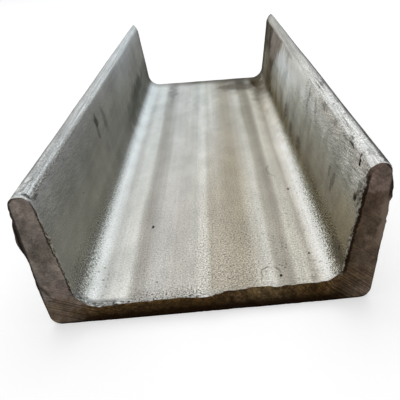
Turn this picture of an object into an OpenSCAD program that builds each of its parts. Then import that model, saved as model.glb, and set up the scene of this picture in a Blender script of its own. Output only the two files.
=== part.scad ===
// Hot-rolled channel with tapered flanges: a short cut length of stock that lies on the back of its web.
// X runs across the section, Y along the bar and Z up. The origin is the middle of the underside.

/* [Section] */
// Depth of the section, over the backs of both flanges
depth = 120; // [80:1:240]
// Width of a flange, from the back of the web to the toe
flange_width = 56; // [40:0.5:75]
// Thickness of the web
web_thickness = 7.5; // [4:0.5:14]
// Thickness of a flange, halfway along its width
flange_thickness = 9.5; // [8.5:0.25:16]
// Taper of a flange's inner face, in per cent of its run
flange_taper = 10; // [0:0.5:12]

/* [Rounding] */
// Radius of the root, where the web runs into a flange
root_radius = 9; // [2:0.5:18]
// Radius of the toe's inner corner
toe_radius = 4; // [1:0.25:4.5]
// Radius of the toe's outer corner
toe_back_radius = 2; // [0.5:0.25:2.5]
// Radius of the heel, the outer corner of web and flange
heel_radius = 4; // [0.5:0.25:8]

/* [Cuts] */
// Overall length, to the long point of the front cut
length = 266; // [120:1:3000]
// Angle by which the front cut is out of square
front_cut_angle = 3; // [-20:0.5:20]

/* [Hidden] */
$fn = 96;
steel_colour = "#b4b3ac";
// How far the shapes that trim the section and the bar reach past them
spare = 5;
// How far an arc is let into the faces that it touches, so that it meets each of them in one clean edge
hair = 0.001;

half_depth = depth / 2;
taper = flange_taper / 100;
// Distance along a flange's inner face for each millimetre that it rises
slant = sqrt(1 + taper * taper);

// Distance of a flange's inner face from the middle of the section, at a height above the web's back
function inner_face(height) = half_depth - flange_thickness - taper * (flange_width / 2 - height);

// The root arc touches the web's face and, at this height, the flange's inner face
root_touch = web_thickness + root_radius * (1 - taper / slant);
root_centre = [inner_face(root_touch) - root_radius / slant, web_thickness + root_radius];

// The toe arc touches the flange's edge and, at this height, its inner face
toe_touch = flange_width - toe_radius * (1 - taper / slant);
toe_centre = [inner_face(toe_touch) + toe_radius / slant, flange_width - toe_radius];

toe_back_centre = [half_depth - toe_back_radius, flange_width - toe_back_radius];
heel_centre = [half_depth - heel_radius, heel_radius];

// Lean of the front cut across the bar, and how far it lies behind the long point at the middle
cut_lean = tan(front_cut_angle);
cut_set_back = half_depth * abs(cut_lean);

// Right half of the block that the section fills, with its heel and the back of its toe rounded
module half_block() {
    polygon([
        [0, 0],
        [heel_centre.x, 0],
        [half_depth, heel_centre.y],
        [half_depth, toe_back_centre.y],
        [toe_back_centre.x, flange_width],
        [0, flange_width]
    ]);
    translate(heel_centre) circle(heel_radius);
    translate(toe_back_centre) circle(toe_back_radius);
}

// Right half of what lies outside the hollow: web, root, tapered inner face and toe
module half_wall() {
    difference() {
        union() {
            polygon([
                [0, web_thickness],
                [root_centre.x, web_thickness],
                [inner_face(root_touch), root_touch],
                [inner_face(toe_touch), toe_touch],
                [toe_centre.x, flange_width],
                [toe_centre.x, flange_width + spare],
                [half_depth + spare, flange_width + spare],
                [half_depth + spare, -spare],
                [0, -spare]
            ]);
            translate(toe_centre) circle(toe_radius + hair);
        }
        translate(root_centre) circle(root_radius + hair);
    }
}

module half_section() {
    intersection() {
        half_block();
        half_wall();
    }
}

// The bar as rolled, running past both cuts
module rolled_bar() {
    rotate([90, 0, 0])
        linear_extrude(height = length + 2 * spare, center = true) {
            half_section();
            mirror([1, 0]) half_section();
        }
}

// What lies between the two cuts, drawn from above: the front one leans and the back one is square
module between_cuts() {
    reach = half_depth + spare;
    middle = cut_set_back - length / 2;
    translate([0, 0, -spare])
        linear_extrude(height = flange_width + 2 * spare)
            polygon([
                [-reach, middle - reach * cut_lean],
                [reach, middle + reach * cut_lean],
                [reach, length / 2],
                [-reach, length / 2]
            ]);
}

module channel() {
    color(steel_colour)
        intersection() {
            rolled_bar();
            between_cuts();
        }
}

channel();
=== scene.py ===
import math

import bpy
import numpy as np
from mathutils import Matrix, Vector


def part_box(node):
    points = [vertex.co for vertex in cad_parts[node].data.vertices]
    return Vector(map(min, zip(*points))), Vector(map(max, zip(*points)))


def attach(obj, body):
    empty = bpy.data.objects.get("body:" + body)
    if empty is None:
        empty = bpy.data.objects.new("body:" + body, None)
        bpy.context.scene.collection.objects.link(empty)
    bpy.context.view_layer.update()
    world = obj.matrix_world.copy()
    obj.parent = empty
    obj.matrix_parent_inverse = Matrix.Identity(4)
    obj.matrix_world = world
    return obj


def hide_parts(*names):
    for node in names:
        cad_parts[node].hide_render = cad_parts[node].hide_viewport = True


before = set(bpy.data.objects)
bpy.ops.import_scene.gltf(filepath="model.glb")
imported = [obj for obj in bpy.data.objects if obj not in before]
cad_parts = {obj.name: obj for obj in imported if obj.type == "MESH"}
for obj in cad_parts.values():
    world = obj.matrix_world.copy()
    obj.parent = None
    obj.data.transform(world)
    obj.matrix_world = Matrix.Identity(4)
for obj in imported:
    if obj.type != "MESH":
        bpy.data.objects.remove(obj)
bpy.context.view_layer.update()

MM = 0.001

# Section of the channel, in millimetres: what the box of the CAD piece doesn't give
WEB = 7.5
FLANGE_AT_MIDDLE = 9.5
TAPER = 0.10
ROOT_R = 9.0
TOE_R = 4.0
TOE_BACK_R = 2.0
HEEL_R = 4.0
FRONT_LEAN = math.tan(math.radians(3.0))

node_low, node_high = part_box("channel")
HALF = (node_high.x - node_low.x) / 2 / MM
FLANGE = node_high.z / MM
BACK_Y = node_high.y / MM
FRONT_Y = node_low.y / MM + HALF * FRONT_LEAN

# Mesh density: columns across the section, rows through its thickness, rings along the bar
FLANGE_COLUMNS = 44
ROOT_COLUMNS = 16
HEEL_COLUMNS = 8
UNDER_COLUMNS = 5
HALF_WEB_COLUMNS = 50
TOE_BACK_ROWS = 5
ROWS = 14
TOE_COLUMNS = 9
EDGE_RINGS = 8
BAR_RINGS = 138
SHARP_ANGLE = 38

# The front edge round the section. Each line: place across the unrolled skin, depth of the edge zone, and
# how far the edge is cut back into the metal at the cut; below zero a burr stands proud. In millimetres.
FRONT_EDGE = (
    (-215, 0.5, 0.05),
    (-170, 0.5, 0.05),
    (-157, 0.5, 0.2),
    (-150, 0.6, 0.1),
    (-146, 0.6, -0.1),
    (-136, 0.6, -0.35),
    (-128, 0.6, -0.35),
    (-126, 5, -0.3),
    (-107, 5, -0.3),
    (-105, 1.2, -0.6),
    (-102, 0.9, -0.45),
    (-100, 0.9, 0),
    (-98, 0.9, -0.1),
    (-95, 0.9, -0.4),
    (-88, 0.9, -0.5),
    (-83, 1, -0.95),
    (-78, 1, -1.5),
    (-72, 1, -1),
    (-56, 1, -0.9),
    (-52, 1, -0.5),
    (-47, 1, 0),
    (-40, 1.2, 0.4),
    (-33, 1.3, 0.6),
    (-20, 1.5, 0.9),
    (-8, 1.5, 1),
    (-3, 1.2, 0.5),
    (-0.5, 0.8, 0.3),
    (3, 1.9, 1.3),
    (8, 2.4, 2.1),
    (14, 2.6, 2.3),
    (33, 2.3, 2),
    (41, 2.3, 1.9),
    (45, 2.2, 0.7),
    (49, 2.2, -1),
    (54, 2.2, -1.9),
    (68, 2.2, -1.6),
    (77, 2.3, -1.2),
    (79.5, 2.8, -3),
    (84, 2.8, -3.4),
    (86.5, 2.4, -2.2),
    (88, 2.2, -1.3),
    (91.5, 2, -1.9),
    (93.5, 1.8, -1.5),
    (96, 1.6, -1.1),
    (97.5, 1.4, -0.5),
    (98.6, 1.4, 0.2),
    (100, 1.8, 0.4),
    (101.5, 2.4, 0.4),
    (104, 3, -0.4),
    (107, 3, -0.7),
    (109, 3, -0.9),
    (112, 3, -0.6),
    (120, 3, -0.5),
    (125, 3, -0.3),
    (130, 3, -0.15),
    (136, 3, 0),
    (140, 3, 0.15),
    (147, 3, 0.3),
    (150, 3, 0.6),
    (158, 1, 0.3),
    (170, 0.5, 0.05),
    (215, 0.5, 0.05),
)
# How much of the front edge zone is torn metal and not skin, round the section
TORN_SHARE = (
    (-127, 0),
    (-126, 1),
    (-106, 1),
    (-105, 0),
    (-90, 0),
    (-86, 0.6),
    (-56, 0.6),
    (-50, 0.2),
    (-44, 0),
    (-38, 0.2),
    (-33, 0.5),
    (-8, 0.75),
    (-3, 0.3),
    (-0.5, 0),
    (1.5, 0.5),
    (5, 1),
    (89, 1),
    (92, 0.6),
    (98, 0),
    (112, 0),
    (118, 0.3),
    (132, 0.3),
    (140, 0),
)
# Flap of metal peeled out of the left flange's back: place across and how far it stands out, then the
# depths between which it rises and falls
PEELED_FLAP = (
    (-126, 0),
    (-124, 0.45),
    (-121.5, 1.35),
    (-120, 2),
    (-118, 2.3),
    (-114.5, 2.2),
    (-111.5, 2),
    (-109, 1.5),
    (-107.5, 1),
    (-106, 0.5),
    (-104, 0),
)
FLAP_RISE = (0.2, 1.0)
FLAP_FALL = (1.5, 5.0)
BACK_ARRIS = 0.3
# How much closer the rings lie towards the front, and how an inset edge and a burr curve up to the cut
RING_CROWDING = 1.25
INSET_BEND = 1.0
BURR_BEND = 1.6
# Unevenness: height in millimetres or share, length of a wave across and along, seed of its noise
EDGE_DEPTH_WAVES = (0.25, 2.2, 1, 1)
EDGE_INSET_WAVES = (0.35, 1.6, 1, 2)
EDGE_TEETH = (0.12, 1.1, 1, 3)
BROAD_WAVES = (0.14, 31, 55, 4)
LONG_WAVES = (0.07, 9, 120, 5)
ARRIS_WAVES = (0.5, 4, 1, 6)
FLAP_WAVES = (0.1, 4, 1, 7)
FINE_WAVES = (1.0, 3, 6, 8)
ROUGH_WAVES = (0.16, 2.4, 3.2, 9)
# Depth past which the edge zone gets no more uneven
EDGE_WAVE_CAP = 2
# Where the toes lie across, and the height of the fine waves on them and elsewhere
TOE_SPAN = (88, 99)
TOE_UNEVEN = 0.10
SKIN_UNEVEN = 0.03
# Rough strip below the toes: where it begins and ends across, and where it dies out along the bar
ROUGH_FROM = (70, 80)
ROUGH_TO = (91, 93)
ROUGH_DEPTH = (60, 110)
# Rise of the toes towards the far end: height, where along, and place and width of its slopes across
TOE_RISE = 2.3
TOE_RISE_DEPTH = (90, 255)
TOE_RISE_INNER = (91.5, 4.4)
TOE_RISE_OUTER = (98.6, 2.7)

# The unrolled skin on its map: this many millimetres to the map's width, the ends set above the skin
MAP_SIZE = 450
END_MAP_ROW = 300

# Camera fitted to the photograph: lengths in millimetres, angles in degrees, focal length in pixels
CAMERA_AT = (5.34, -244.64, 122.13)
CAMERA_YAW = 2.97
CAMERA_DOWN = 32.26
CAMERA_ROLL = -5.06
FOCAL_PIXELS = 431.37
FRAME_PIXELS = 400
SENSOR = 36
CLIP_NEAR = 10

# Colour of the skin across the section, left half and right half: place across, then linear colour
LEFT_TONES = (
    (-101, (0.13, 0.13, 0.12)),
    (-98.3, (0.14, 0.14, 0.13)),
    # From here to -93.2, the left toe's light band: worn metal, partly a painted highlight
    (-97.6, (0.4, 0.41, 0.4)),
    (-96.8, (0.47, 0.485, 0.48)),
    (-95, (0.52, 0.545, 0.545)),
    (-93.2, (0.54, 0.57, 0.57)),
    (-92.2, (0.37, 0.38, 0.37)),
    (-85, (0.335, 0.335, 0.31)),
    (-75, (0.31, 0.31, 0.27)),
    (-60, (0.31, 0.31, 0.26)),
    (-54, (0.27, 0.265, 0.22)),
    (-49.8, (0.28, 0.28, 0.25)),
    # From here to -32.5, the bright strip over the left root and the web beside it: partly cleaner metal,
    # partly a painted highlight
    (-47.1, (0.72, 0.77, 0.77)),
    (-45.5, (0.9, 0.95, 0.95)),
    (-43, (0.8, 0.84, 0.83)),
    (-40.5, (0.74, 0.75, 0.72)),
    (-37, (0.81, 0.82, 0.78)),
    (-32.5, (0.8, 0.81, 0.76)),
    (-30.3, (0.5, 0.49, 0.45)),
    (-28.5, (0.42, 0.405, 0.365)),
    (-26, (0.42, 0.405, 0.37)),
    (-21.5, (0.545, 0.535, 0.5)),
    (-18.5, (0.575, 0.565, 0.53)),
    (-14, (0.53, 0.515, 0.475)),
    (-6.5, (0.52, 0.51, 0.465)),
    (-4.5, (0.62, 0.605, 0.55)),
    (-2, (0.62, 0.605, 0.55)),
)
RIGHT_TONES = (
    (-2, (0.62, 0.605, 0.545)),
    (-0.8, (0.57, 0.55, 0.48)),
    (0.6, (0.45, 0.415, 0.34)),
    (5, (0.45, 0.41, 0.335)),
    (12, (0.41, 0.37, 0.295)),
    (16, (0.42, 0.385, 0.315)),
    (19.5, (0.54, 0.515, 0.45)),
    (23, (0.63, 0.62, 0.56)),
    (24.9, (0.62, 0.605, 0.545)),
    (26.6, (0.43, 0.405, 0.345)),
    (31, (0.375, 0.345, 0.29)),
    (32.3, (0.44, 0.41, 0.35)),
    (34.4, (0.7, 0.68, 0.6)),
    (38, (0.64, 0.615, 0.54)),
    (40, (0.56, 0.525, 0.45)),
    # From here to 47.5, the right root's bright strip: partly cleaner metal, partly a painted highlight
    (42.5, (0.8, 0.79, 0.73)),
    (45.3, (0.95, 0.945, 0.9)),
    (47.5, (0.88, 0.875, 0.82)),
    (49.7, (0.44, 0.43, 0.36)),
    (51.7, (0.27, 0.24, 0.165)),
    (55, (0.245, 0.21, 0.135)),
    # From here to 84 the right flange gets lighter towards its toe and stays lighter than the left flange:
    # painted light
    (60, (0.325, 0.295, 0.215)),
    (68, (0.375, 0.35, 0.275)),
    (78, (0.45, 0.45, 0.385)),
    (84, (0.66, 0.655, 0.595)),
    # From here to 96.8, the right toe's bright band: worn metal, partly a painted highlight
    (91.6, (0.77, 0.75, 0.67)),
    (92.8, (0.77, 0.765, 0.715)),
    (95, (0.6, 0.61, 0.585)),
    (96.8, (0.58, 0.59, 0.57)),
    (97.3, (0.42, 0.43, 0.41)),
    (98, (0.1, 0.1, 0.09)),
    (101, (0.09, 0.09, 0.08)),
)
# What the far end's colour is multiplied by, across the section
FAR_TINTS = (
    (-100, (1.17, 1.21, 1.24)),
    (-91, (1.2, 1.24, 1.28)),
    (-84, (1.06, 1.08, 1.12)),
    (-70, (0.92, 0.94, 0.98)),
    (-55, (1, 1.02, 1.05)),
    (-50, (0.92, 0.95, 1)),
    (-45, (0.97, 1.02, 1.05)),
    (-33, (0.86, 0.92, 0.97)),
    (-20, (0.96, 1.02, 1.06)),
    (-1, (0.98, 1.06, 1.13)),
    (2, (1.2, 1.33, 1.52)),
    (5, (1.12, 1.24, 1.42)),
    (11, (0.9, 0.96, 0.99)),
    (20, (0.84, 0.85, 0.85)),
    (29, (0.66, 0.67, 0.61)),
    (35, (0.84, 0.85, 0.83)),
    (42, (0.76, 0.73, 0.66)),
    (50, (0.76, 0.72, 0.62)),
    (60, (1, 1.02, 1.02)),
    (80, (1, 1.02, 1.04)),
    (96, (0.64, 0.62, 0.59)),
)
BACK_TONE = (0.34, 0.34, 0.32, 1)
RIM_TONE = (0.40, 0.41, 0.39, 1)
CORNER_TONE = (0.19, 0.20, 0.19, 1)
DIRT = (0.13, 0.11, 0.08, 1)
END_DIRT = (0.085, 0.076, 0.055, 1)
SOOT = (0.09, 0.09, 0.085, 1)
BLACK = (0.02, 0.018, 0.015, 1)
# Bright bare metal; on the toes and along the cut it also stands in for painted highlights
BARE_METAL_AND_HIGHLIGHT = (0.78, 0.79, 0.77, 1)

# Zones of the skin across: the two places where each fades in, then the two where it fades out. The web
# only fades out, and left turns to right within the side reach. The near part of the bar ends at a depth.
ROOT_ZONE = ((42, 48), (60, 53))
FLANGE_ZONE = ((48, 52), (93, 91.5))
TOE_ZONE = ((91.5, 93), (106, 101))
WEB_EDGE = (56, 50)
SIDE_REACH = 60
NEAR_DEPTH = 150
# Noises of the skin: features per millimetre across and along, detail, roughness
FIBRES = ((0.62, 1.35, 1), 3, 0.66)
WANDER = ((0.05, 0.013, 1), 1, 0.5)
GRAIN = ((1.5, 1.5, 1), 3, 0.65)
STREAKS = ((0.30, 0.004, 1), 4, 0.6)
CLOUDS = ((0.07, 0.04, 1), 4, 0.6)
SMEARS = ((0.05, 0.075, 1), 5, 0.62)
TOE_LINES = ((1.1, 0.015, 1), 4, 0.7)
SCUFFS = ((1.5, 0.07, 1), 5, 0.72)
SPARKS = ((2.0, 0.8, 1), 3, 0.7)
SCRATCHES = ((2.2, 0.12, 1), 4, 0.74)
SCRATCH_SLANT = 0.22
CRACKS = ((1.2, 0.5, 1), 5, 0.78)
DARK_CLOUDS = ((0.06, 0.04, 1), 4, 0.6)
CIRCLE_GAPS = ((0.16, 0.16, 1), 3, 0.6)
FLECKS = ((0.55, 1.2, 1), 4, 0.72)
PIT_SCALE = 0.5
# Frays of outlines: features per millimetre and detail, then how far they move a place
AREA_FRAYS = (0.11, 4.0)
AREA_FRAY_REACH = (14, 24)
MARK_FRAYS = (0.45, 3.0)
MARK_FRAY_REACH = (1.2, 2.6, 5.0)
# Shades: two values of a noise and the factor at each
STREAK_SHADE = (0.3, 0.7, 0.94, 1.06)
CLOUD_SHADE = (0.3, 0.7, 0.90, 1.10)
SMEAR_SHADE = (0.34, 0.66, 0.80, 1.18)
TOE_LINE_SHADE = (0.34, 0.66, 0.72, 1.24)
SCUFF_SHADE = (0.36, 0.62, 0.55, 1.34)
SPARK_SHADE = (0.36, 0.64, 0.66, 1.26)
SCRATCH_SHADE = (0.36, 0.64, 0.60, 1.40)
DARK_CLOUD_SHADE = (0.35, 0.65, 0.76, 1.22)
# How deep the grain is across the section: two places and the factor at each
GRAIN_DEPTHS = (
    (-12, 3, 1.9, 3.5),
    (15, 24, 1, 0.58),
    (52, 60, 1, 1.6),
)

# Soft rims of areas and of spots, as distances from the middle where the radius is 1
AREA_RIM = (1.25, 0.25)
SPOT_RIM = (1.15, 0.55)
# Broad lighter and darker areas of the skin: place across, place along, radius across, radius along, gain
AREAS = (
    # The first two areas light the right flange towards its toe and far end: painted light
    (87, 130, 24, 74, (1.62, 1.66, 1.74)),
    (70, 170, 16, 50, (1.42, 1.46, 1.6)),
    (66, 6, 16, 26, (0.98, 0.92, 0.8)),
    (50.5, 8, 3.5, 22, (0.66, 0.64, 0.6)),
    (-57.5, 167, 8.5, 30, (0.6, 0.61, 0.6)),
    (-63.5, 205, 6.5, 34, (0.5, 0.51, 0.5)),
    (-58, 222, 12, 72, (0.66, 0.67, 0.66)),
    (-60, 264, 14, 22, (0.7, 0.7, 0.68)),
    (-62, 112, 16, 46, (0.87, 0.88, 0.91)),
    (-84, 172, 11, 45, (1.16, 1.2, 1.26)),
    (-12, 8, 9, 24, (0.91, 0.9, 0.89)),
    (48.2, 105, 3, 60, (1.26, 1.28, 1.3)),
    (-80, 50, 12, 30, (0.86, 0.88, 0.9)),
    (3, 140, 7, 80, (1.1, 1.12, 1.16)),
    (27, 243, 19, 20, (0.36, 0.36, 0.34)),
    (44, 246, 9, 50, (0.19, 0.16, 0.105)),
    (50.5, 206, 5, 24, (0.44, 0.42, 0.37)),
    (41, 192, 4, 42, (0.82, 0.82, 0.79)),
    (23, 203, 7, 18, (1.2, 1.22, 1.26)),
    (6, 210, 7, 17, (1.15, 1.16, 1.16)),
    (-11, 200, 4, 30, (1.13, 1.14, 1.15)),
    (14, 85, 9, 70, (0.95, 0.94, 0.89)),
    (64, 115, 9, 42, (1.03, 1.08, 1.17)),
    (-47.5, 12, 5, 30, (0.88, 0.87, 0.85)),
    (-27, 235, 3.5, 30, (0.62, 0.64, 0.66)),
    # A painted pool of light on the middle of the web
    (-15, 110, 32, 50, (1.06, 1.07, 1.08)),
)
# The right flange's dark far end: depth where it starts, place across from which it starts sooner, half
# width of its soft edge, how much sooner per mm up the flange, and its tones low and high on the flange
DARK_END_FROM = 205
DARK_END_ROOT = 66
DARK_END_SOFT = 4
DARK_END_SLANT = 0.95
DARK_END_LOW = ((0.155, 0.128, 0.080, 1), (0.26, 0.23, 0.16, 1))
DARK_END_HIGH = ((0.31, 0.27, 0.225, 1), (0.115, 0.098, 0.070, 1))
# Marks on the skin: place across, place along, radius across, radius along, strength
SPECKS = (
    (-25.6, 47, 0.65, 1.35, 1),
    (-20.5, 10, 0.45, 0.5, 0.9),
    (27.3, 7.8, 0.55, 1, 1),
    (40.4, 19.4, 0.42, 0.7, 1),
    (40.4, 70, 0.7, 0.9, 0.9),
    (7.7, 8.3, 0.4, 0.4, 0.8),
    (-69.8, 42, 0.5, 0.6, 0.6),
    (45, 259, 6, 6, 0.7),
    (78.3, 7.4, 1.6, 1.7, 0.75),
    (81.2, 6.6, 1.3, 1, 0.6),
    (89.6, 10.6, 1.2, 1.2, 1),
    (90.9, 10.8, 0.9, 0.8, 1),
    (92, 11.6, 0.9, 0.7, 0.95),
    (91.8, 21.4, 0.5, 3.4, 0.85),
    (93.4, 24.6, 0.4, 2.4, 0.7),
    (91.2, 29, 0.4, 4, 0.55),
    (96, 82, 0.9, 3.6, 0.55),
    (94.3, 80.5, 0.4, 3, 0.7),
    (97.2, 86, 0.5, 5, 0.6),
    (95, 56.2, 0.35, 0.6, 0.8),
    (97.2, 57.8, 0.5, 1, 0.7),
    (96.6, 43.8, 0.9, 0.5, 0.5),
    (97.3, 37, 0.4, 0.9, 0.6),
    (97, 6.5, 0.5, 0.8, 0.6),
    (-95.6, 11.5, 0.35, 2.2, 0.6),
    (-94, 2.6, 1.9, 1, 0.8),
    (-91.4, 5.2, 0.7, 2.2, 0.65),
    (-96.4, 5.6, 0.5, 1.8, 0.5),
    (-93, 9, 0.5, 2.6, 0.45),
    (87.6, 25.3, 0.5, 2.4, 0.5),
    (54.3, 10.4, 1.2, 1.2, 0.6),
    (29.5, 12, 0.45, 0.45, 0.7),
    (28.6, 13.2, 0.5, 0.4, 0.7),
    (30.2, 13.9, 0.45, 0.4, 0.6),
    (27.6, 14.2, 0.4, 0.4, 0.5),
    (31.8, 24, 0.5, 0.5, 0.5),
    (30.4, 25.2, 0.5, 0.4, 0.5),
    (32.2, 26.3, 0.4, 0.4, 0.4),
    (31, 27.3, 0.5, 0.5, 0.4),
)
SMUDGES = (
    (-78.5, 85.5, 3.8, 2.8, 0.6),
    (-83.5, 86.3, 4.2, 3.2, 0.95),
    (-79.5, 101, 7, 3.6, 0.5),
    (-66, 94, 3.5, 3, 0.2),
)
STAINS = (
    (21, 239, 13, 7, 0.85),
    (33, 236, 8, 8, 0.95),
    (22, 253, 18, 4, 0.4),
    (78.6, 7, 2.8, 2.6, 0.95),
    (83.5, 5.6, 2.6, 2, 0.85),
    (72, 31.5, 3.6, 1.8, 0.7),
    (68, 33.5, 4, 1.8, 0.75),
    (72.5, 38.5, 3, 1.6, 0.55),
    (88, 76, 3.5, 2.2, 0.5),
    (83.5, 73.5, 3.5, 2.2, 0.55),
    (79.5, 70, 3, 2.2, 0.35),
    (88, 88, 4.5, 1.8, 0.5),
    (82, 90, 4.5, 1.6, 0.45),
    (91.2, 61, 1.8, 6, 0.6),
    (91.5, 43, 1.7, 3, 0.5),
    (92, 23, 1.3, 3, 0.55),
    (91.2, 155, 1.6, 18, 0.4),
    (57.5, 95, 5, 7.5, 0.95),
    (57, 118, 5, 6, 0.75),
    (60, 137, 6.5, 6.5, 0.8),
    (60.5, 155, 5.5, 6, 0.45),
    (56, 60, 5.5, 11, 0.3),
    (53, 11, 4, 9, 0.8),
    (39.3, 5.6, 1.1, 1, 0.45),
    (-113, 2, 9, 5, 0.7),
)
# Bright marks on the toes: bare metal, partly painted highlights
BRIGHT_MARKS = (
    (-98.2, 6.5, 0.8, 2.4, 0.9),
    (-97.2, 0.6, 2.6, 0.9, 0.9),
    (-96.9, 11.8, 0.7, 2, 0.95),
    (-94.5, 58, 0.5, 1.8, 0.6),
    (-94.5, 94, 0.6, 3, 0.5),
    (96.3, 67.5, 0.8, 2.4, 0.9),
    (96.8, 5, 0.8, 2, 0.9),
    (96.6, 12.5, 0.6, 1.4, 0.8),
    (94.7, 64, 0.9, 7, 0.7),
    (96.6, 51, 0.5, 4, 0.6),
    (94.6, 112, 0.8, 7, 0.4),
    (97.5, 1, 3, 1.4, 0.8),
    (94.2, 6, 1.6, 4, 0.7),
    (94.5, 17, 1.3, 5, 0.7),
    (96, 32, 0.9, 6, 0.6),
    (94.2, 52, 1.4, 9, 0.5),
)
# Ring-shaped stains: place across, place along, radius, strength, where they end on the right and in front
DIRT_CIRCLES = (
    (23.6, 9.4, 3.8, 0.75, 29, 7.5),
    (40.2, 91, 8.1, 0.45, 37, 80),
)

# Colour of the sawn end across the section, and what its upper right is multiplied by
SAWN_TONES = (
    (-62.6, (0.095, 0.08, 0.06)),
    (-61.9, (0.085, 0.07, 0.052)),
    (-61.4, (0.022, 0.019, 0.016)),
    (-60.7, (0.022, 0.019, 0.016)),
    (-60.4, (0.28, 0.237, 0.203)),
    (-50, (0.28, 0.232, 0.195)),
    (-46, (0.13, 0.085, 0.048)),
    (-42, (0.065, 0.038, 0.015)),
    (-36, (0.062, 0.037, 0.014)),
    (0, (0.055, 0.03, 0.01)),
    (10, (0.062, 0.038, 0.017)),
    (20, (0.082, 0.054, 0.025)),
    (30, (0.056, 0.034, 0.0145)),
    (42, (0.055, 0.03, 0.0105)),
    (49, (0.09, 0.057, 0.03)),
    (54, (0.165, 0.117, 0.08)),
    (60, (0.17, 0.122, 0.085)),
)
SAWN_TOP_TINT = (1.42, 1.46, 1.72, 1)
SAWN_LOW_LEFT = (0.225, 0.165, 0.115, 1)
SAWN_DARK = (0.008, 0.0025, 0.0005, 1)
SAWN_BEVEL = (0.27, 0.205, 0.155, 1)
FRINGE = (0.46, 0.44, 0.36, 1)
# Lighter and darker areas of the sawn end: place across, height, radius across, radius up, gain
SAWN_AREAS = (
    (-55, 34, 5, 6, (0.62, 0.63, 0.6)),
    (-54, 17, 6, 5, (1.25, 1.18, 1.18)),
    (-48, 5, 5, 4, (0.7, 0.62, 0.48)),
    (55.5, 42, 5, 5, (0.74, 0.7, 0.72)),
    (54, 11, 5, 5, (0.8, 0.75, 0.66)),
    (57.5, 4.5, 3.5, 3.5, (1.25, 1.25, 1.32)),
    (59.2, 29, 1.6, 5, (1.25, 1.24, 1.2)),
    (20, 8, 8, 2.5, (1.38, 1.42, 1.42)),
)
# Centre of the saw's curved lines, across and up, and how fast a line changes along its own length
SAW_CENTRE = (-186, -274, 0)
SAW_LINE_CHANGE = 0.03
# Seam low on the left flange's cut: fall in height per mm across, height where it would cross the middle
SEAM_SLANT = 1.85
SEAM_HEIGHT = -91.0
SAWN_WEB_EDGE = (54, 44)
# Noises of the sawn end: features per millimetre across, along and up, detail, roughness
SAWN_CLOUDS = ((0.17, 0.17, 0.15), 5, 0.62)
SAWN_BLOTCHES = ((0.30, 0.30, 0.24), 4, 0.6)
SAWN_MOTTLES = ((0.5, 0.5, 0.75), 4, 0.7)
SAWN_GRAIN = ((1.5, 1.5, 1.5), 3, 0.7)
SAW_LINES = ((3.4, 1, 1), 2, 0.5)
TEARS = ((0.55, 0.2, 0.42), 4, 0.68)
SHREDS = ((0.9, 0.3, 0.7), 4, 0.7)
# Shades of the sawn end: two values of a noise, or two heights, and the factor at each
SAWN_CLOUD_SHADE = (0.34, 0.66, 0.76, 1.26)
SAWN_BLOTCH_SHADE = (0.38, 0.62, 0.82, 1.15)
SAWN_MOTTLE_SHADE = (0.36, 0.62, 0.42, 1.48)
SAWN_GRAIN_SHADE = (0.34, 0.66, 0.78, 1.22)
SAW_LINE_SHADE = (0.36, 0.60, 0.34, 1.42)
WEB_TOP_SHADE = (3.5, 7.5, 1.0, 1.55)

# Floor, world and lamp
FLOOR_HALF = 6.0
FLOOR_COLOUR = (0.80, 0.80, 0.80, 1)
FLOOR_GLOW = 0.48
SEEN_WORLD = (1, 1, 1, 1)
WORLD_LIGHT = (0.34, 0.34, 0.35, 1)
KEY_AT = (-0.08, 0.35, 1.25)
KEY_SIZE = 1.5
KEY_POWER = 9.0


def inner_face(height):
    """Distance of a flange's inner face from the middle of the section."""
    return HALF - FLANGE_AT_MIDDLE - TAPER * (FLANGE / 2 - height)


def arc(centre, radius, start, end, count):
    """Points on an arc, angles in degrees, both ends included."""
    angles = np.radians(np.linspace(start, end, count + 1))
    return np.c_[centre[0] + radius * np.cos(angles), centre[1] + radius * np.sin(angles)]


def straight(start, end, count):
    """Points on a line, both ends included."""
    return np.linspace(start, end, count + 1)


def joined(*runs):
    """One run of points out of several that follow each other."""
    return np.vstack([runs[0]] + [run[1:] for run in runs[1:]])


def right_half():
    """The section's right half: underside and back, then the toe, then inner face, root and web face."""
    lean = math.degrees(math.atan(TAPER))
    slant = math.hypot(1, TAPER)
    root_touch = WEB + ROOT_R * (1 - TAPER / slant)
    root_at = (inner_face(root_touch) - ROOT_R / slant, WEB + ROOT_R)
    toe_touch = FLANGE - TOE_R * (1 - TAPER / slant)
    toe_at = (inner_face(toe_touch) + TOE_R / slant, FLANGE - TOE_R)
    beside_root = ROOT_COLUMNS - HEEL_COLUMNS - UNDER_COLUMNS
    under_root = HALF - 4 * HEEL_R
    outer = joined(
        straight((0, 0), (under_root, 0), HALF_WEB_COLUMNS),
        straight((under_root, 0), (HALF - HEEL_R, 0), UNDER_COLUMNS),
        arc((HALF - HEEL_R, HEEL_R), HEEL_R, -90, 0, HEEL_COLUMNS),
        straight((HALF, HEEL_R), (HALF, root_touch), beside_root),
        straight((HALF, root_touch), (HALF, FLANGE - TOE_BACK_R), FLANGE_COLUMNS),
    )
    toe = joined(
        arc((HALF - TOE_BACK_R, FLANGE - TOE_BACK_R), TOE_BACK_R, 0, 90, TOE_BACK_ROWS),
        straight((HALF - TOE_BACK_R, FLANGE), (toe_at[0], FLANGE), 1),
        arc(toe_at, TOE_R, 90, 180 - lean, ROWS - TOE_BACK_ROWS - 1),
    )
    inner = joined(
        straight((inner_face(toe_touch), toe_touch), (inner_face(root_touch), root_touch), FLANGE_COLUMNS),
        arc(root_at, ROOT_R, -lean, -90, ROOT_COLUMNS),
        straight((root_at[0], WEB), (0, WEB), HALF_WEB_COLUMNS),
    )
    return joined(outer, toe, inner)


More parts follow.
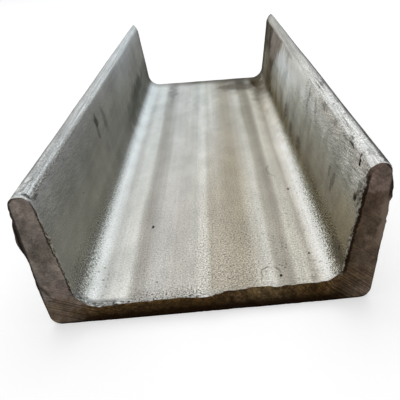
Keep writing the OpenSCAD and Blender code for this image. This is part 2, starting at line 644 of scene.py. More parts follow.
def whole_section():
    """Points round the section, their place across the unrolled skin, and which way is out of the metal.

    The place across is 0 at the middle of the web's face, positive to the right; it ends under the web.
    """
    half = right_half()
    loop = np.vstack([half, half[-2:0:-1] * (-1, 1)])
    run = np.r_[0, np.cumsum(np.hypot(*np.diff(half, axis=0).T))]
    to_middle = run[-1] - run
    across = np.r_[to_middle, -to_middle[-2:0:-1]]
    tangent = np.roll(loop, -1, axis=0) - np.roll(loop, 1, axis=0)
    tangent /= np.hypot(*tangent.T)[:, None]
    outward = np.c_[tangent[:, 1], -tangent[:, 0]]
    return loop, across, outward, len(half)


def lattice_noise(u, v, seed):
    """Smooth noise from -1 to 1 over two coordinates, one feature per unit."""
    size = 64
    table = np.random.default_rng(seed).uniform(-1, 1, (size, size))
    u0 = np.floor(u).astype(int)
    v0 = np.floor(v).astype(int)
    fu = (u - u0) ** 2 * (3 - 2 * (u - u0))
    fv = (v - v0) ** 2 * (3 - 2 * (v - v0))
    u1 = (u0 + 1) % size
    v1 = (v0 + 1) % size
    u0 = u0 % size
    v0 = v0 % size
    low = table[u0, v0] * (1 - fu) + table[u1, v0] * fu
    high = table[u0, v1] * (1 - fu) + table[u1, v1] * fu
    return low * (1 - fv) + high * fv


def uneven(across, depth, waves, share=1.0):
    """Random waves over the skin, as one of the named settings gives them."""
    height, length_across, length_along, seed = waves
    return height * share * lattice_noise(across / length_across, depth / length_along, seed)


def along_table(across, table, value):
    """A column of a table read off at places across the skin."""
    lines = np.array(table, float)
    return np.interp(across, lines[:, 0], lines[:, value])


def smooth_step(value, low, high):
    share = np.clip((value - low) / (high - low), 0, 1)
    return share * share * (3 - 2 * share)


def front_edge(across, still):
    """Depth of the front edge zone round the section, and how far the edge is cut back at the cut."""
    depth = along_table(across, FRONT_EDGE, 1)
    depth += uneven(across, still, EDGE_DEPTH_WAVES, np.minimum(depth, EDGE_WAVE_CAP))
    inset = along_table(across, FRONT_EDGE, 2)
    inset *= 1 + uneven(across, still, EDGE_INSET_WAVES)
    inset += uneven(across, still, EDGE_TEETH)
    return depth, inset


def below_toes(reach, depth):
    """Share of the rough strip below the toes, on the near part of the bar."""
    strip = smooth_step(reach, *ROUGH_FROM) * (1 - smooth_step(reach, *ROUGH_TO))
    return strip * (1 - smooth_step(depth, *ROUGH_DEPTH))


def toe_rise(reach, depth):
    """How far the toes rise towards the far end of the bar."""
    inner = (reach - TOE_RISE_INNER[0]) / TOE_RISE_INNER[1]
    outer = (TOE_RISE_OUTER[0] - reach) / TOE_RISE_OUTER[1]
    ridge = np.clip(np.minimum(inner, outer), 0, 1)
    return TOE_RISE * ridge * smooth_step(depth, *TOE_RISE_DEPTH)


def skin_rings(loop, across, outward):
    """Places of the skin's rings from the front cut to the back end, and their depth behind the cut."""
    still = np.zeros_like(across)
    edge_depth, inset = front_edge(across, still)
    bar = BACK_Y - FRONT_Y - loop[:, 0] * FRONT_LEAN
    edge_steps = np.linspace(0, 1, EDGE_RINGS + 1)[:, None]
    bar_steps = (np.linspace(0, 1, BAR_RINGS + 1)[1:] ** RING_CROWDING)[:, None]
    sound = edge_depth + bar_steps * (bar - 2 * BACK_ARRIS - edge_depth)
    depth = np.vstack([edge_steps * edge_depth, sound, bar])

    wide = np.broadcast_to(across, depth.shape)
    reach = np.abs(wide)
    relief = uneven(wide, depth, BROAD_WAVES)
    relief += uneven(wide, depth, LONG_WAVES)
    bend = np.where(inset > 0, INSET_BEND, BURR_BEND)
    relief[:EDGE_RINGS + 1] -= (1 - edge_steps) ** bend * inset
    relief[-1] -= BACK_ARRIS * (1 + uneven(across, still, ARRIS_WAVES))
    flap = along_table(across, PEELED_FLAP, 1) * (1 + uneven(across, still, FLAP_WAVES))
    relief += flap * smooth_step(depth, *FLAP_RISE) * (1 - smooth_step(depth, *FLAP_FALL))
    on_toe = (reach > TOE_SPAN[0]) & (reach < TOE_SPAN[1])
    relief += uneven(wide, depth, FINE_WAVES, np.where(on_toe, TOE_UNEVEN, SKIN_UNEVEN))
    relief += uneven(wide, depth, ROUGH_WAVES, below_toes(reach, depth))

    places = np.empty(depth.shape + (3,))
    places[..., 0] = loop[:, 0] + outward[:, 0] * relief
    places[..., 1] = FRONT_Y + loop[:, 0] * FRONT_LEAN + depth
    places[..., 2] = np.maximum(loop[:, 1] + outward[:, 1] * relief, 0)
    places[..., 2] += toe_rise(reach, depth)
    return places, depth


def end_grid(ring, first_on_ring, first_inside, half_points):
    """Inside places of the grid that closes an end, and all its vertex numbers.

    The grid's rim is the ring itself.
    """
    points = len(ring)
    contour = (half_points - ROWS + 1) // 2
    column = np.arange(2 * contour - 1) - (contour - 1)
    row = np.arange(1, ROWS)
    numbers = np.empty((len(column), ROWS + 1), int)
    numbers[:, 0] = column % points
    numbers[:, ROWS] = half_points - 1 - column
    numbers[-1, 1:ROWS] = contour - 1 + row
    numbers[0, 1:ROWS] = points - contour + 1 - row
    share = np.linspace(0, 1, ROWS + 1)[None, :, None]
    grid = ring[numbers[:, 0]][:, None] * (1 - share) + ring[numbers[:, ROWS]][:, None] * share
    fade = np.clip(1 - np.arange(len(column)) / TOE_COLUMNS, 0, 1)[:, None, None] ** 2
    grid = grid + fade * (ring[numbers[0]] - grid[0])
    grid = grid + fade[::-1] * (ring[numbers[-1]] - grid[-1])
    inside = grid[1:-1, 1:ROWS]
    numbers += first_on_ring
    numbers[1:-1, 1:ROWS] = first_inside + np.arange(inside[..., 0].size).reshape(inside.shape[:2])
    return inside.reshape(-1, 3), numbers


def corners(grid):
    """The four corners of every face between the neighbours of a grid."""
    return grid[:-1, :-1], grid[1:, :-1], grid[1:, 1:], grid[:-1, 1:]


def quads(numbers):
    """Four-sided faces out of a grid of vertex numbers."""
    return np.stack(corners(numbers), -1).reshape(-1, 4)


def sawn_faces(across, rings, end_count):
    """Material of every face: 1 on the ends and on the torn share of the front edge zone, else 0."""
    torn = np.zeros((rings - 1, len(across)), bool)
    share = along_table(across, TORN_SHARE, 1)
    torn[:EDGE_RINGS] = np.arange(1, EDGE_RINGS + 1)[:, None] <= EDGE_RINGS * share
    return np.r_[torn.ravel(), np.ones(end_count, bool)].astype(np.int32)


def unrolled_map(mesh, across, depth, end_places):
    """The mesh's map: the skin laid flat, and both ends side by side above it."""
    wide = np.broadcast_to(np.r_[across, -across[0]], (len(depth), len(across) + 1)) + MAP_SIZE / 2
    skin_map = np.stack([wide, np.c_[depth, depth[:, :1]]], -1)
    skin_uv = np.stack(corners(skin_map), -2).reshape(-1, 2)
    end_uv = end_places[:, [0, 2]] + (MAP_SIZE / 4, END_MAP_ROW)
    end_uv[len(end_uv) // 2:, 0] += MAP_SIZE / 2
    layer = mesh.uv_layers.new(name="unrolled")
    layer.uv.foreach_set("vector", (np.vstack([skin_uv, end_uv]) / MAP_SIZE).astype(np.float32).ravel())


def rolled_channel():
    """The bar as one closed mesh: skin, front cut and back end, with its map and its two materials."""
    loop, across, outward, half_points = whole_section()
    places, depth = skin_rings(loop, across, outward)
    rings, points = depth.shape
    skin_count = rings * points
    front_inside, front_numbers = end_grid(places[0], 0, skin_count, half_points)
    after_front = skin_count + len(front_inside)
    back_inside, back_numbers = end_grid(places[-1], skin_count - points, after_front, half_points)
    vertices = np.vstack([places.reshape(-1, 3), front_inside, back_inside]) * MM

    ring_numbers = np.arange(skin_count).reshape(rings, points)
    closed = np.c_[ring_numbers, ring_numbers[:, :1]]
    ends = np.vstack([quads(front_numbers), quads(back_numbers)[:, ::-1]])
    faces = np.vstack([quads(closed), ends])
    mesh = bpy.data.meshes.new("rolled_channel")
    mesh.from_pydata(vertices.tolist(), [], faces.tolist())
    mesh.polygons.foreach_set("use_smooth", np.ones(len(faces), bool))
    mesh.set_sharp_from_angle(angle=math.radians(SHARP_ANGLE))
    mesh.polygons.foreach_set("material_index", sawn_faces(across, rings, len(ends)))
    unrolled_map(mesh, across, depth, vertices[ends].reshape(-1, 3) / MM)

    piece = bpy.data.objects.new("rolled_channel", mesh)
    bpy.context.scene.collection.objects.link(piece)
    mesh.materials.append(mill_skin())
    mesh.materials.append(sawn_end())
    return piece


class Shader:
    """A node tree, a point's place and its colour so far. Most calls return a socket for the next call."""

    def __init__(self, tree):
        self.tree = tree
        self.tree.nodes.clear()
        self.place = None
        self.colour = None

    def node(self, kind, inputs=None, **settings):
        made = self.tree.nodes.new("ShaderNode" + kind)
        for name, value in settings.items():
            setattr(made, name, value)
        for key, value in (inputs or {}).items():
            self.feed(made.inputs[key], value)
        return made

    def feed(self, socket, value):
        if isinstance(value, bpy.types.NodeSocket):
            self.tree.links.new(value, socket)
        else:
            socket.default_value = value

    def math(self, operation, a, b=0.0, c=0.0):
        return self.node("Math", {0: a, 1: b, 2: c}, operation=operation).outputs[0]

    def product(self, *values):
        whole = values[0]
        for value in values[1:]:
            whole = self.math("MULTIPLY", whole, value)
        return whole

    def strongest(self, values):
        most = values[0]
        for value in values[1:]:
            most = self.math("MAXIMUM", most, value)
        return most

    def less(self, a, b):
        return self.math("SUBTRACT", a, b)

    def swayed(self, value, noise, reach):
        """A value moved up and down by noise."""
        return self.math("MULTIPLY_ADD", self.less(noise, 0.5), reach, value)

    def vector(self, operation, a, b):
        return self.node("VectorMath", {0: a, 1: b}, operation=operation).outputs[0]

    def distance(self, a, b):
        return self.node("VectorMath", {0: a, 1: b}, operation="DISTANCE").outputs["Value"]

    def frayed(self, place, offset, reach):
        """A place moved about across and along by an offset."""
        return self.vector("ADD", place, self.vector("MULTIPLY", offset, (*reach, 0)))

    def fade(self, value, low, high, at_low=0.0, at_high=1.0):
        """A smooth step from one value to another."""
        inputs = {"Value": value, "From Min": low, "From Max": high, "To Min": at_low, "To Max": at_high}
        made = self.node("MapRange", inputs, interpolation_type="SMOOTHSTEP")
        return made.outputs["Result"]

    def band(self, value, rise, fall):
        """1 in a band, fading in between the two places of its rise and out between those of its fall."""
        return self.product(self.fade(value, *rise), self.fade(value, *fall))

    def line(self, value, middle, outer, inner):
        """1 on a line, fading to 0 on both sides of it."""
        return self.fade(self.math("ABSOLUTE", self.less(value, middle)), outer, inner)

    def noise(self, setting, place=None):
        """Noise with one of the named settings, at the point's own place or at another."""
        scale, detail, roughness = setting
        spread = self.vector("MULTIPLY", place or self.place, scale)
        inputs = {"Vector": spread, "Scale": 1.0, "Detail": detail, "Roughness": roughness}
        return self.node("TexNoise", inputs).outputs[0]

    def mix(self, share, a, b, blend="MIX"):
        made = self.node("Mix", {0: share, 6: a, 7: b}, data_type="RGBA", blend_type=blend)
        return made.outputs[2]

    def paint(self, tone, *shares):
        """Covers the colour with another, as far as the product of the shares goes."""
        self.colour = self.mix(self.product(*shares), self.colour, tone)

    def times(self, colour, value):
        """A colour multiplied by a value."""
        made = self.node("VectorMath", {0: colour, "Scale": value}, operation="SCALE")
        return made.outputs[0]

    def shaded(self, colour, value, shade):
        """A colour darker and lighter with a value; the shade gives two values and the factor at each."""
        return self.times(colour, self.fade(value, *shade))

    def shade(self, value, shade, *shares):
        """Shades the colour with a value, all over or as far as the product of the shares goes."""
        shaded = self.shaded(self.colour, value, shade)
        if shares:
            self.paint(shaded, *shares)
        else:
            self.colour = shaded

    def ramp(self, value, stops):
        """A colour read off a table of places and colours."""
        low = stops[0][0]
        high = stops[-1][0]
        share = self.node("MapRange", {"Value": value, "From Min": low, "From Max": high})
        made = self.node("ValToRGB", {"Fac": share.outputs["Result"]})
        elements = made.color_ramp.elements
        elements.remove(elements[1])
        for index, (place, colour) in enumerate(stops):
            position = (place - low) / (high - low)
            element = elements[0] if index == 0 else elements.new(position)
            element.position = position
            element.color = (*colour, 1)
        return made.outputs["Color"]

    def off_middle(self, place, across, along, radius_across, radius_along):
        """Distance from the middle of an ellipse, 1 on its rim."""
        squeeze = (1 / radius_across, 1 / radius_along, 1)
        middle = (across / radius_across, along / radius_along, 0)
        return self.distance(self.vector("MULTIPLY", place, squeeze), middle)

    def tint(self, place, areas):
        """Multiplies the colour by a gain in each of several ellipses with wide soft rims."""
        for *ellipse, gain in areas:
            share = self.fade(self.off_middle(place, *ellipse), *AREA_RIM)
            self.colour = self.mix(share, self.colour, (*gain, 1), "MULTIPLY")

    def spots(self, place, marks):
        """Several ellipses, each with its strength and a narrow soft rim."""
        faded = []
        for *ellipse, strength in marks:
            faded.append(self.fade(self.off_middle(place, *ellipse), *SPOT_RIM, 0, strength))
        return self.strongest(faded)

    def circle(self, place, across, along, radius, strength, right_end, front_end):
        """The left and back part of a thin ring on the skin."""
        away = self.distance(place, (across, along, 0))
        parts = self.node("SeparateXYZ", {0: place}).outputs
        line = self.product(self.line(away, radius, 0.65, 0.1), strength)
        back = self.fade(parts[1], front_end - 1, front_end + 2)
        return self.product(line, self.fade(parts[0], right_end, right_end - 3), back)

    def seen_directly(self):
        """1 for rays from the camera, from a gloss or through glass."""
        path = self.node("LightPath").outputs
        return self.strongest([path["Is Camera Ray"], path["Is Glossy Ray"], path["Is Transmission Ray"]])

    def bump(self, height, strength, distance):
        inputs = {"Strength": strength, "Distance": distance, "Height": height}
        return self.node("Bump", inputs).outputs["Normal"]

    def surface(self, inputs):
        principled = self.node("BsdfPrincipled", inputs)
        self.node("OutputMaterial", {"Surface": principled.outputs[0]})


def new_material(name, kind=Shader):
    material = bpy.data.materials.new(name)
    material.use_nodes = True
    return material, kind(material.node_tree)


class Skin(Shader):
    """The skin's nodes: where a point is, across and along in millimetres, and what several marks share."""

    def __init__(self, tree):
        super().__init__(tree)
        uv = self.node("UVMap", uv_map="unrolled").outputs["UV"]
        to_mm = {"Vector": uv, "Location": (-MAP_SIZE / 2, 0, 0), "Scale": (MAP_SIZE, MAP_SIZE, 1)}
        self.place = self.node("Mapping", to_mm).outputs[0]
        self.across, self.along, _ = self.node("SeparateXYZ", {0: self.place}).outputs
        self.reach = self.math("ABSOLUTE", self.across)
        self.near = self.fade(self.along, NEAR_DEPTH, 0, 0.25, 1)
        self.root = self.band(self.reach, *ROOT_ZONE)
        self.root = self.product(self.root, self.fade(self.across, -57, -51, 0.3, 1))
        self.flange = self.band(self.reach, *FLANGE_ZONE)
        self.toe = self.band(self.reach, *TOE_ZONE)
        self.web = self.fade(self.reach, *WEB_EDGE)
        self.grain = self.noise(GRAIN)
        self.streaks = self.noise(STREAKS)
        self.scuffs = self.noise(SCUFFS)
        self.sparks = self.noise(SPARKS)
        self.flecks = self.noise(FLECKS)

    def sides(self, left, right):
        """A share with one value on the left flange and another on the right."""
        return self.fade(self.across, -SIDE_REACH, SIDE_REACH, left, right)

    def frays(self, scale, detail):
        """Noise as one value, and as an offset with three separate values about zero."""
        made = self.node("TexNoise", {"Vector": self.place, "Scale": scale, "Detail": detail})
        return made.outputs[0], self.vector("SUBTRACT", made.outputs["Color"], (0.5, 0.5, 0.5))


def band_tones(skin):
    """Colour of the lengthwise bands, their edges frayed by short fibres across the bar."""
    fibres = skin.noise(FIBRES)
    wander = skin.noise(WANDER)
    length = skin.product(skin.root, skin.fade(skin.along, 230, 30, 5, 11))
    length = skin.product(length, skin.fade(skin.across, -20, 20, 0.75, 1))
    length = skin.math("MULTIPLY_ADD", skin.product(skin.near, skin.web), 2, length)
    shift = skin.product(skin.less(fibres, 0.5), length)
    drift = skin.product(skin.less(wander, 0.5), skin.fade(skin.reach, 46, 38, 0.8, 3))
    read_at = skin.math("ADD", skin.math("ADD", skin.across, shift), drift)
    left = skin.ramp(read_at, LEFT_TONES)
    right = skin.ramp(read_at, RIGHT_TONES)
    inside = skin.mix(skin.fade(read_at, -2.5, -1.5), left, right)
    tones = skin.mix(skin.fade(skin.reach, 101, 104), inside, BACK_TONE)
    far = skin.fade(skin.along, 60, 230)
    skin.colour = skin.mix(far, tones, skin.ramp(skin.across, FAR_TINTS), "MULTIPLY")


def broad_areas(skin):
    """Lighter and darker areas of web and flanges with soft, uneven outlines, painted light on the right
    flange and the middle of the web among them; the toes stay as they are.
    """
    plain = skin.colour
    _, offset = skin.frays(*AREA_FRAYS)
    ragged = skin.frayed(skin.place, offset, AREA_FRAY_REACH)
    skin.tint(ragged, AREAS)
    dark_far_end(skin, ragged)
    skin.paint(plain, skin.toe)


def dark_far_end(skin, ragged):
    """The dark far end of the right flange, which starts sooner towards the toe."""
    across, along, _ = skin.node("SeparateXYZ", {0: ragged}).outputs
    up_flange = skin.math("MAXIMUM", skin.less(across, DARK_END_ROOT), 0)
    depth = skin.math("MULTIPLY_ADD", up_flange, DARK_END_SLANT, along)
    low = skin.mix(skin.fade(along, 228, 244), *DARK_END_LOW)
    high = skin.mix(skin.fade(along, 214, 228), *DARK_END_HIGH)
    tone = skin.mix(skin.fade(across, 68, 77), low, high)
    tone = skin.shaded(tone, skin.noise(DARK_CLOUDS), DARK_CLOUD_SHADE)
    dark = skin.fade(depth, DARK_END_FROM - DARK_END_SOFT, DARK_END_FROM + DARK_END_SOFT)
    skin.paint(tone, dark, skin.fade(skin.across, 47, 51), skin.fade(skin.across, 94, 91.5))


def rolling_streaks(skin):
    """Streaks along the bar, clouds, and smears up the flanges."""
    skin.shade(skin.streaks, STREAK_SHADE)
    skin.shade(skin.noise(CLOUDS), CLOUD_SHADE)
    smears = skin.noise(SMEARS)
    skin.shade(smears, SMEAR_SHADE, skin.flange, skin.sides(0.3, 1))


def toe_scuffs(skin):
    """Lines along the toes, with scuffs and fine light and dark specks on their near part."""
    plain = skin.colour
    skin.shade(skin.noise(TOE_LINES), TOE_LINE_SHADE)
    skin.shade(skin.scuffs, SCUFF_SHADE, skin.fade(skin.along, 130, 80, 0.15, 1), skin.sides(0.6, 1))
    skin.shade(skin.sparks, SPARK_SHADE, skin.fade(skin.along, 190, 110, 0.25, 1))
    skin.colour = skin.mix(skin.toe, plain, skin.colour)


def flange_scratches(skin):
    """Slanting scratches on the flanges, and sooty cracks towards the toes."""
    slant = skin.math("MULTIPLY_ADD", skin.along, SCRATCH_SLANT, skin.reach)
    place = skin.node("CombineXYZ", {0: slant, 1: skin.along}).outputs[0]
    upper = skin.product(skin.flange, skin.near, skin.fade(skin.reach, 68, 84, 0.15, 1))
    skin.shade(skin.noise(SCRATCHES, place), SCRATCH_SHADE, upper, skin.sides(0.55, 1))
    cracks = skin.fade(skin.noise(CRACKS, place), 0.43, 0.37)
    by_toe = skin.product(skin.fade(skin.reach, 76, 91), skin.flange, skin.fade(skin.along, 130, 40))
    skin.paint(SOOT, by_toe, 0.75, cracks)


def toe_edges(skin):
    """Dots of dirt under both toes, and a bright line along the right one: worn metal, partly a painted
    highlight.
    """
    dots = skin.product(skin.fade(skin.sparks, 0.56, 0.44), skin.sides(0.8, 0.4))
    skin.paint(DIRT, skin.line(skin.reach, 92.3, 0.9, 0.2), dots, skin.fade(skin.along, 120, 70))
    worn_and_highlight = skin.product(skin.line(skin.across, 93.3, 0.6, 0.2), skin.fade(skin.scuffs, 0.38, 0.5))
    skin.paint(BARE_METAL_AND_HIGHLIGHT, worn_and_highlight, skin.fade(skin.along, 140, 90), 0.7)


def mill_grain(skin):
    """Light and dark grain, deepest at the ends of the roots' bright bands and right of the middle."""
    strip = skin.band(skin.reach, (40, 42), (48, 46))
    band_end = skin.product(skin.root, skin.fade(skin.reach, 44.5, 49))
    band_end = skin.product(band_end, skin.fade(skin.across, -20, 20, 0.5, 0.95))
    depth = skin.math("MULTIPLY_ADD", band_end, 4.2, skin.fade(strip, 0, 1, 1.3, 0.9))
    by_toe = skin.fade(skin.reach, 70, 82, 0.4, 0.75)
    depth = skin.product(depth, skin.near, skin.strongest([skin.fade(skin.reach, 66, 56), by_toe]))
    light_band = skin.band(skin.across, (-43, -40), (-29.5, -32.5))
    depth = skin.product(depth, skin.fade(light_band, 0, 1, 1, 0.55))
    for step in GRAIN_DEPTHS:
        depth = skin.product(depth, skin.fade(skin.across, *step))
    skin.colour = skin.times(skin.colour, skin.swayed(1, skin.grain, depth))


def pits(skin):
    """Small pits in web and roots, densest in the left root by the cut and on the right half."""
    cells = skin.node("TexVoronoi", {"Vector": skin.place, "Scale": PIT_SCALE}).outputs
    lot = skin.node("SeparateColor", {0: cells["Color"]}).outputs[0]
    pitted = skin.product(skin.fade(cells["Distance"], 0.34, 0.16), skin.fade(lot, 0.58, 0.66))
    left_root = skin.product(skin.fade(skin.across, -38, -43), skin.fade(skin.along, 45, 10), 0.7)
    elsewhere = skin.product(skin.fade(skin.across, -8, 8, 0.15, 0.42), skin.near)
    skin.paint(DIRT, pitted, skin.strongest([left_root, elsewhere]), skin.fade(skin.reach, 66, 56))


def dirt_marks(skin):
    """Stains, smudges, bright marks, ring stains and specks, all with ragged outlines."""
    patchy, offset = skin.frays(*MARK_FRAYS)
    fine, torn, rough = [skin.frayed(skin.place, offset, (reach, reach)) for reach in MARK_FRAY_REACH]
    skin.paint(DIRT, skin.spots(rough, STAINS), skin.fade(patchy, 0.3, 0.6, 0.4, 1))
    skin.paint(SOOT, skin.spots(rough, SMUDGES))
    # Bright marks on the toes: bare metal, partly painted highlights
    skin.paint(BARE_METAL_AND_HIGHLIGHT, skin.spots(fine, BRIGHT_MARKS), skin.fade(patchy, 0.35, 0.55, 0.3, 1))
    circles = skin.strongest([skin.circle(fine, *circle) for circle in DIRT_CIRCLES])
    skin.paint(DIRT, circles, skin.fade(skin.noise(CIRCLE_GAPS), 0.4, 0.56))
    by_toe = skin.fade(skin.reach, 84, 86)
    speck_place = skin.node("Mix", {0: by_toe, 4: fine, 5: torn}, data_type="VECTOR").outputs[1]
    skin.paint(BLACK, skin.spots(speck_place, SPECKS))


def far_edge(skin):
    """Dirt along the edge of the far end, strongest on the right."""
    end_at = skin.math("MULTIPLY_ADD", skin.across, FRONT_LEAN, skin.along)
    length = BACK_Y - FRONT_Y
    right = skin.strongest([
        skin.fade(skin.across, -36, -9, 0.5, 0.85),
        skin.fade(skin.across, 10, 18, 0, 0.94),
        skin.product(skin.band(skin.across, (-15, -12), (-1, -4)), 0.9),
    ])
    rim = skin.product(skin.fade(end_at, length - 15, length - 3), right, skin.fade(skin.reach, 95, 91))
    tip = skin.product(skin.fade(end_at, length - 8, length - 1), 0.6)
    skin.paint(END_DIRT, skin.strongest([rim, tip]))


def web_lip(skin):
    """Dull rim of the web at the front cut, with flecks on two stretches and dirt between them."""
    skin.paint(RIM_TONE, skin.fade(skin.along, 4, 1.2), skin.web, 0.45)
    corner = skin.product(skin.fade(skin.along, 4.2, 1.6), skin.fade(skin.across, -28, -38))
    skin.paint(CORNER_TONE, corner, skin.web, 0.85)
    lip = skin.product(skin.fade(skin.along, 2.8, 1.2), skin.fade(skin.across, 3, -1), skin.web)
    stretches = [skin.fade(skin.across, -27, -30, 0.12, 1), skin.fade(skin.across, -11, -8)]
    lip = skin.product(lip, skin.strongest(stretches))
    between = skin.product(skin.band(skin.across, (-33, -27), (0, -5)), skin.fade(skin.along, 8, 3))
    skin.paint(DIRT, between, skin.fade(skin.grain, 0.51, 0.42), 0.9)
    skin.paint(BARE_METAL_AND_HIGHLIGHT, lip, skin.fade(skin.flecks, 0.53, 0.59))
    skin.paint(BLACK, lip, skin.fade(skin.flecks, 0.47, 0.42), 0.9)
    right_lip = skin.product(skin.fade(skin.along, 5.6, 2.6), skin.fade(skin.across, 3, 8), skin.web)
    skin.paint(DIRT, right_lip, skin.fade(skin.flecks, 0.47, 0.41), 0.6)


def flange_lip(skin):
    """Patchy bright rim of the flanges at the front cut, and a painted shadow along its very edge."""
    inside = skin.band(skin.reach, (52, 56), (100, 96))
    bent = skin.product(inside, skin.fade(skin.along, 2.6, 1.4), skin.fade(skin.flecks, 0.42, 0.58))
    skin.paint(BARE_METAL_AND_HIGHLIGHT, bent, 0.35)
    # Black along the very edge: a painted shadow beside the burr
    skin.paint(BLACK, inside, skin.fade(skin.along, 0.8, 0.4), 0.7)


def mill_skin():
    """Pickled rolled skin: bands and streaks along the bar, grain, pits, smears and stains."""
    material, skin = new_material("mill_skin", Skin)
    band_tones(skin)
    broad_areas(skin)
    rolling_streaks(skin)
    toe_scuffs(skin)
    flange_scratches(skin)
    toe_edges(skin)
    mill_grain(skin)
    pits(skin)
    dirt_marks(skin)
    far_edge(skin)
    web_lip(skin)
    flange_lip(skin)
    height = skin.math("MULTIPLY_ADD", skin.grain, 0.6, skin.product(skin.streaks, 0.4))
    dull = skin.fade(skin.flange, 0, 1)
    lightness = skin.node("RGBToBW", {"Color": skin.colour}).outputs[0]
    clean = skin.fade(lightness, 0.04, 0.26)
    grain_rough = skin.fade(skin.grain, 0.3, 0.7, 0.44, 0.6)
    skin.surface({
        "Base Color": skin.colour,
        "Metallic": skin.product(skin.fade(dull, 0, 1, 0.4, 0.1), clean),
        "Roughness": skin.math("MULTIPLY_ADD", dull, 0.22, grain_rough),
        "Specular IOR Level": skin.product(skin.fade(dull, 0, 1, 0.4, 0.15), clean),
        "Normal": skin.bump(height, 0.35, 0.0006),
    })
    return material


class Cut(Shader):
    """A sawn end's nodes: where a point is, across and up in millimetres, and what several marks share."""

    def __init__(self, tree):
        super().__init__(tree)
        local = self.node("TexCoord").outputs["Object"]
        self.place = self.vector("MULTIPLY", local, (1 / MM, 1 / MM, 1 / MM))
        self.across, _, self.height = self.node("SeparateXYZ", {0: self.place}).outputs
        self.reach = self.math("ABSOLUTE", self.across)
        self.flat = self.node("CombineXYZ", {0: self.across, 1: self.height}).outputs[0]
        self.web = self.fade(self.reach, *SAWN_WEB_EDGE)
        self.clouds = self.noise(SAWN_CLOUDS)
        self.blotches = self.noise(SAWN_BLOTCHES)
        self.mottles = self.noise(SAWN_MOTTLES)
        from_saw = self.distance(self.flat, SAW_CENTRE)
        along_line = self.product(self.across, SAW_LINE_CHANGE)
        line_at = self.node("CombineXYZ", {0: from_saw, 1: along_line}).outputs[0]
        self.saw_lines = self.noise(SAW_LINES, line_at)


def sawn_tones(cut):
    """Purple-grey flanges and brown web, with clouds, blotches and areas of their own."""
    tones = cut.ramp(cut.across, SAWN_TONES)
    wavy = cut.swayed(cut.height, cut.clouds, 12)
    upper_right = cut.product(cut.fade(cut.across, 30, 50), cut.fade(wavy, 45.5, 48))
    cut.colour = cut.mix(upper_right, tones, SAWN_TOP_TINT, "MULTIPLY")
    cut.paint(SAWN_LOW_LEFT, cut.fade(cut.across, -46, -52), cut.fade(wavy, 13.5, 10))
    cut.shade(cut.clouds, SAWN_CLOUD_SHADE)
    cut.shade(cut.blotches, SAWN_BLOTCH_SHADE)
    cut.tint(cut.flat, SAWN_AREAS)


def sawn_grain(cut):
    """The web's cut lighter at its top, mottled, and dark at its bottom; fine grain on the whole end."""
    cut.shade(cut.height, WEB_TOP_SHADE, cut.web)
    cut.shade(cut.mottles, SAWN_MOTTLE_SHADE, cut.web, 0.85)
    cut.shade(cut.noise(SAWN_GRAIN), SAWN_GRAIN_SHADE)
    cut.paint(SAWN_DARK, cut.fade(cut.height, 5, 1.8), cut.web, 0.85)


def saw_marks(cut):
    """Curved lines left by the saw, strongest by the heels."""
    by_heels = [cut.fade(cut.across, -36, -48, 0.25, 0.65), cut.fade(cut.across, 14, 46, 0.25, 1)]
    lower = cut.product(cut.fade(cut.height, 22, 10), cut.strongest(by_heels))
    share = cut.strongest([lower, cut.product(cut.fade(cut.across, 40, 50), 0.2)])
    cut.shade(cut.saw_lines, SAW_LINE_SHADE, cut.math("MULTIPLY_ADD", share, 0.75, 0.06))


def cut_edges(cut):
    """Dark rim along the flanges' backs and their outer top corners, and a painted shadow along the
    underside.
    """
    back = cut.band(cut.reach, (59.4, 60), (61.8, 61.3))
    corner_at = HALF + FLANGE
    corner = cut.fade(cut.math("ADD", cut.reach, cut.height), corner_at - 2.7, corner_at - 1.9)
    # Along the underside the dark is a painted shadow where the bar meets the floor
    cut.paint(SAWN_DARK, cut.strongest([back, corner, cut.fade(cut.height, 1.6, 0.4)]), 0.8)


def left_seam(cut):
    """A dark seam low on the left flange's cut."""
    above = cut.less(cut.height, SEAM_HEIGHT)
    seam_at = cut.swayed(cut.math("MULTIPLY_ADD", cut.across, SEAM_SLANT, above), cut.mottles, 2)
    seam = cut.product(cut.fade(cut.math("ABSOLUTE", seam_at), 2.2, 0.6), cut.fade(cut.across, -55, -58))
    cut.paint(SAWN_DARK, seam, cut.fade(cut.height, 20.5, 18.5), 0.6)


def right_bevel(cut):
    """A light bevel at the back of the right flange's cut, halfway up."""
    bevel_at = cut.swayed(cut.across, cut.blotches, 5)
    bevel = cut.product(cut.fade(bevel_at, 57.6, 58.9), cut.band(cut.height, (23, 28), (46, 42)))
    cut.paint(SAWN_BEVEL, bevel, cut.fade(cut.across, 56.8, 57.6))


def torn_fringe(cut):
    """Torn skin and a dark crack along the inner edges of the flanges at the cut."""
    face = cut.math("MULTIPLY_ADD", cut.height, TAPER, inner_face(0))
    past = cut.swayed(cut.less(face, cut.reach), cut.noise(TEARS), 2.4)
    on_flange = cut.band(cut.height, (11, 15), (56, 52))
    cut.paint(SAWN_DARK, cut.fade(past, -0.5, 0.1), on_flange, 0.85)
    loose = cut.fade(cut.across, -10, 10, 0.15, 0.7)
    fringe = cut.fade(cut.less(past, loose), 0, 0.4)
    skin_tone = cut.mix(cut.fade(cut.noise(SHREDS), 0.42, 0.56), DIRT, FRINGE)
    cut.paint(skin_tone, fringe, on_flange)


def sawn_end():
    """Sawn and torn metal: purple-grey flanges, brown web darkest at its bottom, curved saw marks."""
    material, cut = new_material("sawn_end", Cut)
    sawn_tones(cut)
    sawn_grain(cut)
    saw_marks(cut)
    cut_edges(cut)
    left_seam(cut)
    right_bevel(cut)
    torn_fringe(cut)
    cut.surface({
        "Base Color": cut.colour,
        "Metallic": 0.1,
        "Roughness": 0.7,
        "Specular IOR Level": 0.02,
        "Normal": cut.bump(cut.saw_lines, 0.4, 0.0004),
    })
    return material


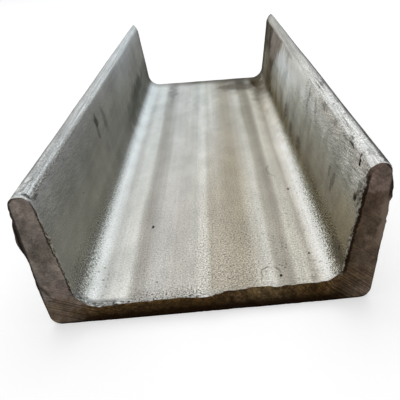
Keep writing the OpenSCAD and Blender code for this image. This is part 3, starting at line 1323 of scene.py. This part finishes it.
def pale_floor():
    """A plain pale floor that keeps the shadow and otherwise reads as white."""
    corners = [(-FLOOR_HALF, -FLOOR_HALF, 0), (FLOOR_HALF, -FLOOR_HALF, 0)]
    corners += [(FLOOR_HALF, FLOOR_HALF, 0), (-FLOOR_HALF, FLOOR_HALF, 0)]
    mesh = bpy.data.meshes.new("floor")
    mesh.from_pydata(corners, [], [(0, 1, 2, 3)])
    piece = bpy.data.objects.new("floor", mesh)
    bpy.context.scene.collection.objects.link(piece)
    material, shader = new_material("floor")
    matt = shader.node("BsdfDiffuse", {"Color": FLOOR_COLOUR})
    strength = shader.math("MULTIPLY", shader.seen_directly(), FLOOR_GLOW)
    glow = shader.node("Emission", {"Strength": strength})
    both = shader.node("AddShader", {0: matt.outputs[0], 1: glow.outputs[0]})
    shader.node("OutputMaterial", {"Surface": both.outputs[0]})
    mesh.materials.append(material)


def studio_light():
    """White surroundings for the eye, a dimmer grey as light, and one large soft lamp overhead."""
    world = bpy.data.worlds.new("studio")
    world.use_nodes = True
    bpy.context.scene.world = world
    shader = Shader(world.node_tree)
    tone = shader.mix(shader.seen_directly(), WORLD_LIGHT, SEEN_WORLD)
    background = shader.node("Background", {"Color": tone})
    shader.node("OutputWorld", {"Surface": background.outputs[0]})
    light = bpy.data.lights.new("key_softbox", "AREA")
    light.size = KEY_SIZE
    light.energy = KEY_POWER
    lamp = bpy.data.objects.new("key_softbox", light)
    lamp.location = KEY_AT
    lamp.rotation_euler = (-Vector(KEY_AT)).to_track_quat("-Z", "Y").to_euler()
    bpy.context.scene.collection.objects.link(lamp)


def photo_camera():
    """The photograph's own viewpoint."""
    lens = bpy.data.cameras.new("camera")
    lens.sensor_width = SENSOR
    lens.lens = SENSOR * FOCAL_PIXELS / FRAME_PIXELS
    lens.clip_start = CLIP_NEAR * MM
    camera = bpy.data.objects.new("camera", lens)
    bpy.context.scene.collection.objects.link(camera)
    camera.matrix_world = (
        Matrix.Translation(Vector(CAMERA_AT) * MM)
        @ Matrix.Rotation(math.radians(CAMERA_YAW), 4, "Z")
        @ Matrix.Rotation(math.radians(90 - CAMERA_DOWN), 4, "X")
        @ Matrix.Rotation(math.radians(CAMERA_ROLL), 4, "Z")
    )
    bpy.context.scene.camera = camera
    bpy.context.scene.view_settings.view_transform = "Standard"


bar = rolled_channel()
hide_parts("channel")
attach(bar, "root")
pale_floor()
studio_light()
photo_camera()
